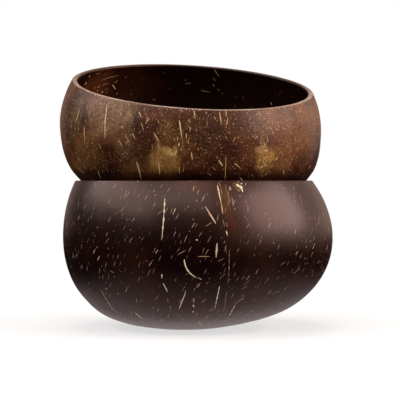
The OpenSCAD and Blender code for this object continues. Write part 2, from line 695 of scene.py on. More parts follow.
class FibreLayer:
    """The slivers of fibre in one bowl, each a closed spindle let into the shell."""

    SIDES = 4
    STATIONS = 8
    CROWN = 0.05 * MM
    ROOT = 0.20 * MM
    LIFT = 0.01 * MM
    TAPER = (0.4, 1.0)
    BACK_FROM = 0.1
    FRONT_TO = -0.2
    FAR_OUT = 0.3

    def __init__(self, name: str, tree: BVHTree, seed: int) -> None:
        """Models the one spindle that every fibre is a copy of.

        Args:
            name: the finished piece's name.
            tree: the shell's surface, in the bowl's own frame.
            seed: start of the layer's random numbers.
        """
        self.name = name
        self.tree = tree
        self.random = random.Random(seed)
        self.laid: list[bpy.types.Object] = []
        deselect_all()
        bpy.ops.mesh.primitive_uv_sphere_add(
            segments=self.SIDES, ring_count=self.STATIONS, radius=1.0)
        self.spindle = bpy.context.object

    def lay(self, path: Sequence[tuple[Vector, Vector]], width: float, taper: float,
            tone: float) -> None:
        """Lays one fibre along a path on the shell.

        Args:
            path: points with their surface normals, from the wide end.
            width: the fibre's width at its widest.
            taper: width of the far end, as a share of the near end's.
            tone: place on the fibres' ramp of colours, from zero to one.
        """
        fibre = self.spindle.copy()
        fibre.data = self.spindle.data.copy()
        bpy.context.collection.objects.link(fibre)
        last = len(path) - 1
        for vertex in fibre.data.vertices:
            share = (vertex.co.z + 1) / 2
            step = min(int(share * last), last - 1)
            part = share * last - step
            (here, out), (there, far_out) = path[step], path[step + 1]
            normal = out.lerp(far_out, part).normalized()
            aside = normal.cross(there - here).normalized()
            height = vertex.co.y * (self.CROWN if vertex.co.y > 0 else self.ROOT)
            reach = vertex.co.x * width / 2 * (1 - (1 - taper) * share)
            vertex.co = here.lerp(there, part) + aside * reach + normal * (height + self.LIFT)
        tones = fibre.data.attributes.new("tone", "FLOAT", "POINT")
        tones.data.foreach_set("value", [tone] * len(fibre.data.vertices))
        self.laid.append(fibre)

    def strew(self, plan: Strew) -> None:
        """Lays a lot of fibres by chance, where the plan lets them lie."""
        for _ in range(plan.count):
            around = self.random.uniform(-math.pi, math.pi)
            rise = math.radians(self.random.uniform(plan.low_angle, plan.high_angle))
            heading = math.radians(self.random.gauss(plan.slant, plan.scatter))
            length = self.random.uniform(*plan.length_mm) * MM
            width = self.random.uniform(*plan.width_mm) * MM
            bend = math.radians(self.random.gauss(0.0, plan.bend))
            tone = self.random.uniform(*plan.tone)
            taper = self.random.uniform(*self.TAPER)
            level = math.cos(rise)
            toward = Vector((math.cos(around) * level, math.sin(around) * level, math.sin(rise)))
            if plan.back_only and toward.y < self.BACK_FROM:
                continue
            if plan.front_only and toward.y > self.FRONT_TO:
                continue
            path = self.walk(toward, plan.inside, heading, bend, length)
            if path:
                self.lay(path, width, taper, tone)

    def walk(self, toward: Vector, inside: bool, heading: float, bend: float,
             length: float) -> list[tuple[Vector, Vector]]:
        """A path over the shell.

        Args:
            toward: direction from the belly's centre in which the path starts.
            inside: whether it lies on the inner face.
            heading: its angle from straight up, to the right as seen from outside.
            bend: how much the heading turns along it.
            length: its length.

        Returns:
            Points with their normals, or nothing where the shell is missed.
        """
        line = (Vector(), toward) if inside else (toward * self.FAR_OUT, -toward)
        start = self.tree.ray_cast(*line)
        if start[0] is None:
            return []
        path = [(start[0], start[1])]
        for step in range(self.STATIONS):
            here, out = path[-1]
            across = Vector((0, 0, 1)).cross(here).normalized()
            up = out.cross(across).normalized()
            if up.z < 0:
                up = -up
            angle = heading + bend * (step / self.STATIONS - 0.5)
            ahead = up * math.cos(angle) + across * math.sin(angle)
            found = self.tree.find_nearest(here + ahead * length / self.STATIONS)
            path.append((found[0], found[1]))
        return path

    def join(self) -> bpy.types.Object:
        """Joins the fibres into one piece.

        Returns:
            The piece, still in the bowl's own frame.
        """
        bpy.data.objects.remove(self.spindle)
        deselect_all()
        for fibre in self.laid:
            fibre.select_set(True)
        piece = self.laid[0]
        bpy.context.view_layer.objects.active = piece
        bpy.ops.object.join()
        piece.name = self.name
        deselect_all()
        piece.select_set(True)
        bpy.context.view_layer.objects.active = piece
        bpy.ops.object.mode_set(mode="EDIT")
        bpy.ops.mesh.select_all(action="SELECT")
        bpy.ops.mesh.normals_make_consistent(inside=False)
        bpy.ops.object.mode_set(mode="OBJECT")
        bpy.ops.object.shade_smooth()
        return piece


# Finishes


@dataclass(frozen=True)
class Patch:
    """A stain, a fibrous patch or a patch of painted light on a shell, by its middle and half sizes
    in the picture.
    """

    middle: Point2
    half_px: Point2
    colour: Colour
    strength: float
    fibrous: float


@dataclass(frozen=True)
class PlacedPatch:
    """A patch found on its shell, in millimetres about the belly."""

    EDGE = Noise(4.0, 4.0, 0.65)
    EDGE_WANDER = 1.1
    STREAK_WANDER = 0.7
    FADE = (0.45, 1.15)
    THREADS = (0.42, 0.62)
    MOTTLE = Noise(1.6, 4.0, 0.7)
    MOTTLE_SPAN = (0.34, 0.62)
    LEAST_MOTTLE = 0.55

    middle_mm: Triple
    half_mm: Point2
    patch: Patch

    def lay(self, graph: ShellGraph, colour: Wire, streaks: Wire, grain: Wire) -> Wire:
        """Lays the patch over a colour, with ragged edges that follow the grain.

        Args:
            graph: the material's graph.
            colour: the colour below.
            streaks: broad streaks along the shell.
            grain: fine streaks along the shell.

        Returns:
            The colour with the patch on it.
        """
        wide, high = self.half_mm
        fibrous = self.patch.fibrous
        reach = graph.maths("LENGTH", (graph.place - self.middle_mm) / (wide, wide, high))
        wander = (graph.noise(self.EDGE) - 0.5) * self.EDGE_WANDER
        ragged = wander + (streaks - 0.5) * self.STREAK_WANDER
        cover = 1 - graph.rise(reach + ragged, *self.FADE)
        threads = graph.rise(grain, *self.THREADS) * fibrous + (1 - fibrous)
        mottle = graph.rise(graph.noise(self.MOTTLE), *self.MOTTLE_SPAN)
        mottle = mottle * (1 - self.LEAST_MOTTLE) + self.LEAST_MOTTLE
        share = cover * threads * mottle * self.patch.strength
        return graph.blend(share, colour, self.patch.colour)


@dataclass(frozen=True)
class PaintedSeamShade:
    """Painted shade: the shell darkened below a plane through the nut, for the shadow where the bowl
    sits in the one below.

    Heights are in millimetres from the belly's centre, the way that upward points.
    """

    WANDER = Noise(7.0, 4.0, 0.6)
    WANDER_MM = 5.0

    upward: Triple
    dark_below: float
    clear_above: float
    colour: Colour

    def lay(self, graph: ShellGraph, colour: Wire) -> Wire:
        """Lays the shade over a colour, with a slightly wandering edge.

        Args:
            graph: the material's graph.
            colour: the colour below.

        Returns:
            The colour with the shade on it.
        """
        height = graph.height(self.upward) + (graph.noise(self.WANDER) - 0.5) * self.WANDER_MM
        shade = 1 - graph.rise(height, self.dark_below, self.clear_above)
        return graph.blend(shade, colour, self.colour, "MULTIPLY")


@dataclass(frozen=True)
class Polish:
    """The look of a bowl's polished outside."""

    CLOUD_DETAIL = 4.0
    CLOUD_ROUGH = 0.55
    CLOUD_SPAN = (0.28, 0.72)
    CLOUD_ROUGHNESS = 0.16
    STREAKS = Noise(5.0, 3.0, 0.6, along=0.05)
    GRAIN = Noise(0.9, 3.0, 0.6, along=0.09)
    GRAIN_TONES = ((0.25, tint("5a5a5a")), (0.75, tint("ffffff")))
    SPECKS = Noise(0.8, 3.0, 0.7)
    SPECK_SPAN = (0.30, 0.62)
    SPECK_TONES = ((0.0, tint("303030")), (1.0, tint("ffffff")))
    FAINTEST_DASH = 0.2
    DASH_ROUGHNESS = 0.12
    DASH_DEPTH = 0.02 * MM
    RIPPLE = Noise(9.0)
    RIPPLE_DEPTH = 0.10 * MM
    PORES = Noise(0.35)
    PORE_SHARE = 0.4
    PORE_DEPTH = 0.03 * MM

    name: str
    clouds: tuple[tuple[float, Colour], ...]
    cloud_mm: float
    streak_depth: float
    dashes: tuple[Dashes, ...]
    dash_colours: tuple[Colour, Colour]
    dash_strength: float
    grain_depth: float
    speckle: float
    roughness: float
    specular: float
    sheen_tint: Colour
    coat: float
    coat_roughness: float
    # painted shade below the seam, where the bowl sits in another bowl
    seam_shade: PaintedSeamShade | None = None

    def material(self, patches: Iterable[PlacedPatch]) -> bpy.types.Material:
        """Builds the material.

        Args:
            patches: stains, and patches of painted light, that lie at set places.

        Returns:
            The material.
        """
        graph = ShellGraph(self.name)
        clouds = graph.noise(Noise(self.cloud_mm, self.CLOUD_DETAIL, self.CLOUD_ROUGH))
        streaks, grain = graph.noise(self.STREAKS), graph.noise(self.GRAIN)
        cloudy = graph.rise(clouds, *self.CLOUD_SPAN) * (1 - self.streak_depth)
        colour = graph.ramp(cloudy + streaks * self.streak_depth, self.clouds)
        for spot in patches:
            colour = spot.lay(graph, colour, streaks, grain)
        colour = graph.darken(colour, self.grain_depth, grain, self.GRAIN_TONES)
        specks = graph.rise(graph.noise(self.SPECKS), *self.SPECK_SPAN)
        colour = graph.darken(colour, self.speckle, specks, self.SPECK_TONES)
        cover = None
        for layer in self.dashes:
            shown, odds = layer.draw(graph)
            dash = graph.blend(odds, *self.dash_colours)
            bright = odds * odds * (1 - self.FAINTEST_DASH) + self.FAINTEST_DASH
            colour = graph.blend(shown * bright * self.dash_strength, colour, dash)
            cover = shown if cover is None else graph.maths("MAXIMUM", cover, shown)
        # painted shade: darkens the shell below the seam, where it sits in the lower bowl
        if self.seam_shade:
            colour = self.seam_shade.lay(graph, colour)
        roughness = self.roughness + (clouds - 0.5) * self.CLOUD_ROUGHNESS
        roughness = roughness + cover * self.DASH_ROUGHNESS
        fine = grain * (1 - self.PORE_SHARE) + graph.noise(self.PORES) * self.PORE_SHARE
        sockets = {
            "Base Color": colour, "Roughness": roughness,
            "Specular IOR Level": self.specular, "Specular Tint": self.sheen_tint,
            "Coat Weight": self.coat, "Coat Roughness": self.coat_roughness,
        }
        ripple = graph.noise(self.RIPPLE)
        heights = [(ripple, self.RIPPLE_DEPTH), (fine, self.PORE_DEPTH), (cover, self.DASH_DEPTH)]
        return graph.finish(sockets, heights)


@dataclass(frozen=True)
class CutEdge:
    """The look of sawn and sanded shell, at the rim and under the foot."""

    MOTTLE = Noise(1.6, 4.0, 0.65)
    MOTTLE_SHARE = 0.6
    MOTTLE_DEPTH = 0.04 * MM
    BROAD = Noise(14.0)
    TONE_SPAN = (0.30, 0.68)
    PITS = Noise(0.5)
    PIT_SPAN = (0.60, 0.70)
    PIT_SHARE = 0.6
    PIT_DEPTH = 0.03 * MM
    # painted shade towards the back: its direction, span and share
    BACKWARD = (0.0, 1.0, 0.0)
    BACK_SHADE_SPAN_MM = (-0.2 * BELLY_MM, 0.4 * BELLY_MM)
    BACK_SHADE_SHARE = 0.85
    ROUGHNESS = 0.62
    PIT_ROUGHNESS = 0.2
    SPECULAR = 0.15

    name: str
    dark: Colour
    light: Colour

    def material(self) -> bpy.types.Material:
        """Builds the material, with painted shade that darkens it towards the back."""
        graph = ShellGraph(self.name)
        mottle = graph.noise(self.MOTTLE)
        tone = mottle * self.MOTTLE_SHARE + graph.noise(self.BROAD) * (1 - self.MOTTLE_SHARE)
        colour = graph.ramp(tone, tuple(zip(self.TONE_SPAN, (self.dark, self.light))))
        pits = graph.rise(graph.noise(self.PITS), *self.PIT_SPAN)
        colour = graph.blend(pits * self.PIT_SHARE, colour, self.dark)
        # painted shade: the cut shell darkened towards the back, where the rim is less lit
        back = graph.rise(graph.height(self.BACKWARD), *self.BACK_SHADE_SPAN_MM)
        colour = graph.blend(back * self.BACK_SHADE_SHARE, colour, self.dark)
        sockets = {
            "Base Color": colour, "Roughness": self.ROUGHNESS + pits * self.PIT_ROUGHNESS,
            "Specular IOR Level": self.SPECULAR,
        }
        return graph.finish(sockets, [(mottle, self.MOTTLE_DEPTH), (1 - pits, self.PIT_DEPTH)])


@dataclass(frozen=True)
class InnerPolish:
    """The look of a bowl's inside: scraped, oiled, dark, and lighter at the bottom."""

    CLOUDS = Noise(22.0, 4.0, 0.6)
    CLOUD_SHARE = 0.65
    STREAKS = Noise(2.4, 3.0, 0.6, along=0.06)
    TONE_SPAN = (0.30, 0.72)
    DOWNWARD = (0.0, 0.0, -1.0)
    BOTTOM_SPAN_MM = (4.0, 18.0)
    BOTTOM_WANDER_MM = 10.0
    BOTTOM_STREAKS = 0.6
    FAINTEST_FLECK = 0.3
    FLECK_DEPTH = 0.03 * MM
    SCRAPES = Noise(7.0, 3.0, 0.6, stretch=(1.0, 1.0, 7.0))
    SCRAPE_ROUGHNESS = 0.16
    SCRAPE_DEPTH = 0.10 * MM
    SHEEN = {
        "Specular IOR Level": 0.35, "Specular Tint": tint("f4cdb4"),
        "Coat Weight": 0.06, "Coat Roughness": 0.18,
    }

    name: str
    deep: Colour
    warm: Colour
    bottom: Colour
    flecks: Dashes
    fleck_colour: Colour
    roughness: float = 0.30

    def material(self, patches: Iterable[PlacedPatch]) -> bpy.types.Material:
        """Builds the material.

        Args:
            patches: stains, and patches of painted light, that lie at set places.

        Returns:
            The material.
        """
        graph = ShellGraph(self.name)
        clouds, streaks = graph.noise(self.CLOUDS), graph.noise(self.STREAKS)
        tone = clouds * self.CLOUD_SHARE + streaks * (1 - self.CLOUD_SHARE)
        colour = graph.ramp(tone, tuple(zip(self.TONE_SPAN, (self.deep, self.warm))))
        depth = graph.height(self.DOWNWARD) + (clouds - 0.5) * self.BOTTOM_WANDER_MM
        mottled = graph.blend(streaks * self.BOTTOM_STREAKS, self.bottom, self.warm)
        colour = graph.blend(graph.rise(depth, *self.BOTTOM_SPAN_MM), colour, mottled)
        for spot in patches:
            colour = spot.lay(graph, colour, streaks, streaks)
        shown, odds = self.flecks.draw(graph)
        bright = self.FAINTEST_FLECK + odds * (1 - self.FAINTEST_FLECK)
        colour = graph.blend(shown * bright, colour, self.fleck_colour)
        scrapes = graph.noise(self.SCRAPES)
        roughness = self.roughness + scrapes * self.SCRAPE_ROUGHNESS
        sockets = {"Base Color": colour, "Roughness": roughness, **self.SHEEN}
        return graph.finish(sockets, [(scrapes, self.SCRAPE_DEPTH), (shown, self.FLECK_DEPTH)])


@dataclass(frozen=True)
class FibreFinish:
    """The look of the pale fibres, each with a tone of its own."""

    MOTTLE = Noise(1.1, 3.0, 0.6)
    MOTTLE_TONE = 0.30
    MOTTLE_ROUGHNESS = 0.15
    MOTTLE_DEPTH = 0.02 * MM
    ROUGHNESS = 0.40
    SPECULAR = 0.4

    name: str
    stops: tuple[tuple[float, Colour], ...]

    def material(self) -> bpy.types.Material:
        """Builds the material."""
        graph = ShellGraph(self.name)
        mottle = graph.noise(self.MOTTLE)
        tone = graph.attribute("tone", "Fac") + (mottle - 0.5) * self.MOTTLE_TONE
        sockets = {
            "Base Color": graph.ramp(tone, self.stops),
            "Roughness": self.ROUGHNESS + mottle * self.MOTTLE_ROUGHNESS,
            "Specular IOR Level": self.SPECULAR,
        }
        return graph.finish(sockets, [(mottle, self.MOTTLE_DEPTH)])


# The bowls


@dataclass(frozen=True)
class Seat:
    """Where a bowl stands, told by a mount on it and that mount's place on the bowl."""

    mount: str
    own_axis: Triple

    def placement(self, record: dict, own_place: Vector) -> Matrix:
        """The turn and shift from the bowl's own frame to the shared one.

        Args:
            record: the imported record.
            own_place: the mount's place in the bowl's own frame.

        Returns:
            The matrix.
        """
        mount = next(m for m in record["mounts"] if m["name"] == self.mount)
        turn = Vector(self.own_axis).rotation_difference(Vector(mount["axis"])).to_matrix()
        return Matrix.Translation(Vector(mount["pos_m"]) - turn @ own_place) @ turn.to_4x4()


@dataclass(frozen=True)
class Sight:
    """Finds places on one bowl by the pixels that show them."""

    NEARLY_ALL = 0.9999

    view: Viewpoint
    camera: bpy.types.Object
    placement: Matrix
    tree: BVHTree

    def spot(self, pixel: Point2) -> tuple[Vector, Vector]:
        """The place on the bowl that a pixel shows, in the bowl's own frame, and its normal."""
        eye, direction = self.view.ray(self.camera, *pixel)
        inward = self.placement.inverted()
        found = self.tree.ray_cast(inward @ eye, inward.to_3x3() @ direction)
        if found[0] is None:
            raise ValueError(f"no part of the bowl shows at {pixel}")
        return found[0], found[1]

    def trace(self, pixels: Sequence[Point2], steps: int) -> list[tuple[Vector, Vector]]:
        """Places along a line of pixels, at equal steps."""
        lengths = [math.dist(a, b) for a, b in zip(pixels, pixels[1:])]
        path = []
        for along in spaced(0.0, sum(lengths) * self.NEARLY_ALL, steps):
            leg = 0
            while along > lengths[leg]:
                along -= lengths[leg]
                leg += 1
            (x0, y0), (x1, y1) = pixels[leg], pixels[leg + 1]
            share = along / lengths[leg]
            path.append(self.spot((x0 + (x1 - x0) * share, y0 + (y1 - y0) * share)))
        return path

    def place(self, patch: Patch) -> PlacedPatch:
        """Finds a patch's middle on the bowl, and its half sizes in millimetres."""
        middle = self.spot(patch.middle)[0] / MM
        per_px = 1 / self.view.px_per_m / MM
        wide, high = patch.half_px
        return PlacedPatch(tuple(middle), (wide * per_px, high * per_px), patch)


@dataclass(frozen=True)
class Bowl:
    """A coconut shell bowl, with its shape, its fibres and its finishes."""

    name: str
    node: str
    body: str
    slot: str
    section: Section
    drift: Drift
    bulge: Bulge
    uneven_from: Point2
    uneven_to: Point2
    seat: Seat
    outside: Polish
    cut: CutEdge
    inside: InnerPolish
    fibre_finish: FibreFinish
    strokes: tuple[Stroke, ...]
    strewn: tuple[Strew, ...]
    patches: tuple[Patch, ...]
    inner_patches: tuple[Patch, ...]
    seed: int
    sides: int = 64
    smoothing: int = 2
    lump_size: float = 0.045
    lump_height: float = 1.0 * MM
    cut_facing: float = 0.55
    foot_facing: float = -0.9
    foot_tolerance: float = 0.3 * MM
    merge_distance: float = 0.01 * MM

    def build(self, view: Viewpoint, camera: bpy.types.Object,
              record: dict) -> list[bpy.types.Object]:
        """Builds the bowl in its place.

        Args:
            view: the viewpoint that set places are told from.
            camera: its camera.
            record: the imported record.

        Returns:
            The shell and its fibres.
        """
        placement = self.seat.placement(record, self._mount_place())
        shell = self._turned_shell()
        self._round_off(shell)
        self._sort_surfaces(shell)
        tree = self._surface_tree(shell)
        sight = Sight(view, camera, placement, tree)
        fibres = self._fibres(tree, sight)
        finishes = {
            Surface.OUTSIDE: self.outside.material(sight.place(p) for p in self.patches),
            Surface.CUT_RIM: self.cut.material(),
            Surface.INSIDE: self.inside.material(sight.place(p) for p in self.inner_patches),
            Surface.FOOT: self.cut.material(),
        }
        for surface in Surface:
            shell.data.materials.append(finishes[surface])
        fibres.data.materials.clear()
        fibres.data.materials.append(self.fibre_finish.material())
        for piece in (shell, fibres):
            self._keep_own_place(piece)
            piece.data.transform(placement)
            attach(piece, self.body)
            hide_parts(self.node)
        return [shell, fibres]

    def _mount_place(self) -> Vector:
        """The place of the seat's mount in the bowl's own frame."""
        if self.seat.own_axis[2] < 0:
            return Vector((0, 0, -self.section.foot_drop))
        return Vector((self.section.rim_mid_r, 0, self.section.rim_rise))

    def _turned_shell(self) -> bpy.types.Object:
        """Draws the shell out of a disc at its foot, ring by ring.

        Each ring is a little wide, by as much as the smoothing then draws it in.

        Returns:
            The shell, in its own frame.
        """
        rings = self.section.rings()
        hoop_gain = 1 / (1 - (1 - math.cos(2 * math.pi / self.sides)) / 3)
        radius, height = rings[0]
        stray = self.drift.at(height)
        deselect_all()
        bpy.ops.mesh.primitive_circle_add(
            vertices=self.sides, radius=radius * hoop_gain, fill_type="NGON", location=(0, 0, 0))
        shell = bpy.context.object
        shell.name = self.name
        bpy.ops.object.mode_set(mode="EDIT")
        bpy.ops.mesh.select_all(action="SELECT")
        bpy.ops.transform.translate(value=(stray, 0, height))
        for next_radius, next_height in rings[1:]:
            next_stray = self.drift.at(next_height)
            bpy.ops.mesh.extrude_region_move(
                TRANSFORM_OT_translate={"value": (next_stray - stray, 0, next_height - height)})
            growth = next_radius / radius
            bpy.ops.transform.resize(
                value=(growth, growth, 1), center_override=(next_stray, 0, next_height))
            radius, height, stray = next_radius, next_height, next_stray
        bpy.ops.mesh.select_all(action="SELECT")
        bpy.ops.mesh.remove_doubles(threshold=self.merge_distance)
        bpy.ops.mesh.normals_make_consistent(inside=False)
        bpy.ops.object.mode_set(mode="OBJECT")
        return shell

    def _round_off(self, shell: bpy.types.Object) -> None:
        """Smooths the shell and gives its outside the bulge and slight lumps of one that grew."""
        smooth = shell.modifiers.new("smooth", "SUBSURF")
        smooth.levels = self.smoothing
        smooth.render_levels = self.smoothing
        bpy.ops.object.modifier_apply(modifier=smooth.name)
        self._push_outside(shell, self.bulge.share, self.bulge.amount)
        lumps = bpy.data.textures.new(f"{self.name}_lumps", "CLOUDS")
        lumps.noise_scale = self.lump_size
        self._push_outside(shell, self._uneven_share, self.lump_height, lumps)
        bpy.ops.object.shade_smooth()

    def _uneven_share(self, place: Vector) -> float:
        """How lumpy a point on the outside is, from zero to one."""
        return ease(place.z, *self.uneven_from) * (1 - ease(place.z, *self.uneven_to))

    @staticmethod
    def _push_outside(shell: bpy.types.Object, share: Callable[[Vector], float],
                      amount: float, texture: bpy.types.Texture | None = None) -> None:
        """Moves the outside along its normals.

        Args:
            shell: the shell.
            share: how much each point moves, from zero to one.
            amount: how far a share of one moves.
            texture: a pattern that the move follows, to both sides of where the shell was.
        """
        group = shell.vertex_groups.new(name="outside")
        for vertex in shell.data.vertices:
            if vertex.normal.dot(vertex.co) > 0:
                group.add([vertex.index], share(vertex.co), "REPLACE")
        push = shell.modifiers.new("push", "DISPLACE")
        push.texture = texture
        push.vertex_group = group.name
        push.strength = amount
        push.mid_level = 0.5 if texture else 0.0
        bpy.ops.object.modifier_apply(modifier=push.name)
        shell.vertex_groups.clear()

    def _sort_surfaces(self, shell: bpy.types.Object) -> None:
        """Gives each face the material slot of the surface that it lies on."""
        foot_top = self.foot_tolerance - self.section.foot_drop
        for face in shell.data.polygons:
            if face.normal.z > self.cut_facing and face.center.z > self.section.ease_z:
                surface = Surface.CUT_RIM
            elif face.normal.z < self.foot_facing and face.center.z < foot_top:
                surface = Surface.FOOT
            elif face.normal.dot(face.center) > 0:
                surface = Surface.OUTSIDE
            else:
                surface = Surface.INSIDE
            face.material_index = surface.value

    @staticmethod
    def _surface_tree(shell: bpy.types.Object) -> BVHTree:
        """The shell's surface, for finding places on it."""
        corners = [vertex.co for vertex in shell.data.vertices]
        return BVHTree.FromPolygons(corners, [list(face.vertices) for face in shell.data.polygons])

    @staticmethod
    def _keep_own_place(piece: bpy.types.Object) -> None:
        """Keeps each point's place about the belly, in millimetres, for the patterns."""
        own = piece.data.attributes.new("nut", "FLOAT_VECTOR", "POINT")
        flat = [part / MM for vertex in piece.data.vertices for part in vertex.co]
        own.data.foreach_set("vector", flat)

    def _fibres(self, tree: BVHTree, sight: Sight) -> bpy.types.Object:
        """Lays the long fibres that the picture shows, then those strewn by chance."""
        layer = FibreLayer(f"{self.name}_fibres", tree, self.seed)
        for stroke in self.strokes:
            path = sight.trace(stroke.pixels, layer.STATIONS)
            layer.lay(path, stroke.width_mm * MM, stroke.taper, stroke.tone)
        for plan in self.strewn:
            layer.strew(plan)
        return layer.join()


# The studio


@dataclass(frozen=True)
class Studio:
    """A pale floor, a white surround and soft lights.

    What the bowls reflect is dimmer than what the camera sees, as when black cards stand
    round a shiny thing.
    """

    softboxes: tuple[Softbox, ...]
    floor_r: float = 60.0
    floor_sides: int = 96
    floor_tone: Colour = tint("f6f5f4")
    white: Colour = tint("ffffff")
    surround_tone: Colour = tint("ffdccc")
    floor_glow_tone: Colour = tint("ffecec")
    bounce_glow: float = 0.5
    near_glow: float = 0.01
    under_glow: float = 0.68
    left_glow: float = 0.01
    right_glow: float = 0.75
    back_glow: float = 0.55
    dull_share: float = 0.4
    glow_reach: Point2 = (0.09, 0.36)
    glow_front: Point2 = (-0.11, -0.03)
    glow_width: Point2 = (0.02, 0.12)
    bounce_reach: Point2 = (0.06, 0.16)
    shadow_reach: Point2 = (0.08, 0.30)
    shadow_share: float = 0.35
    right_span: Point2 = (0.2, 0.8)
    back_span: Point2 = (0.55, 1.0)

    def set_up(self) -> None:
        """Lays the floor, fills the surround and hangs the lights."""
        self._lay_floor()
        self._fill_surround()
        for softbox in self.softboxes:
            softbox.hang()

    def _lay_floor(self) -> None:
        """Adds the floor, pale with a soft shadow that fades out into white."""
        deselect_all()
        bpy.ops.mesh.primitive_circle_add(
            vertices=self.floor_sides, radius=self.floor_r, fill_type="NGON")
        floor = bpy.context.object
        floor.name = "floor"
        graph = Graph(bpy.data.materials.new("pale_floor"))
        place = graph.wire(graph.node("ShaderNodeTexCoord"), "Object")
        parts = graph.node("ShaderNodeSeparateXYZ", {}, {0: place})
        across, along = graph.wire(parts, "X"), graph.wire(parts, "Y")
        from_centre = graph.maths("LENGTH", place)
        faded = graph.rise(from_centre, *self.shadow_reach) * self.shadow_share
        plain = graph.node("ShaderNodeBsdfDiffuse", {}, {"Color": self.floor_tone})
        seen = graph.mix_shaders(faded + (1 - self.shadow_share), plain, graph.emit(self.white))
        sideways = graph.rise(graph.maths("ABSOLUTE", across), *self.glow_width)
        far = graph.rise(from_centre, *self.glow_reach)
        under = graph.rise(along, *self.glow_front) * (1 - far) * (1 - sideways)
        glow = self.near_glow + under * (self.under_glow - self.near_glow)
        close = (1 - graph.rise(from_centre, *self.bounce_reach)) * self.bounce_glow
        dull, shiny = graph.emit(self.white, close), graph.emit(self.floor_glow_tone, glow)
        path = graph.node("ShaderNodeLightPath")
        unseen = graph.mix_shaders(graph.wire(path, "Is Glossy Ray"), dull, shiny)
        mixed = graph.mix_shaders(graph.wire(path, "Is Camera Ray"), unseen, seen)
        graph.node("ShaderNodeOutputMaterial", {}, {"Surface": graph.wire(mixed)})
        floor.data.materials.append(graph.holder)

    def _fill_surround(self) -> None:
        """Makes the surround white to the camera, and for the bowls bright only right and behind."""
        world = bpy.data.worlds.new("surround")
        bpy.context.scene.world = world
        graph = Graph(world)
        toward = graph.wire(graph.node("ShaderNodeTexCoord"), "Generated")
        parts = graph.node("ShaderNodeSeparateXYZ", {}, {0: toward})
        right = graph.rise(graph.wire(parts, "X"), *self.right_span)
        back = graph.rise(graph.wire(parts, "Y"), *self.back_span)
        glow = self.left_glow + right * (self.right_glow - self.left_glow) + back * self.back_glow
        path = graph.node("ShaderNodeLightPath")
        seen = graph.wire(path, "Is Camera Ray")
        mirrored = graph.wire(path, "Is Glossy Ray") * (1 - self.dull_share) + self.dull_share
        strength = graph.maths("MAXIMUM", glow * mirrored, seen)
        hue = graph.blend(seen, self.surround_tone, self.white)
        fill = graph.node("ShaderNodeBackground", {}, {"Color": hue, "Strength": strength})
        graph.node("ShaderNodeOutputWorld", {}, {"Surface": graph.wire(fill)})


# The objects of this picture

# Straight up, as the leaning upper bowl has it in its own frame
UPPER_PLUMB: Triple = (-0.061, 0.243, 0.968)

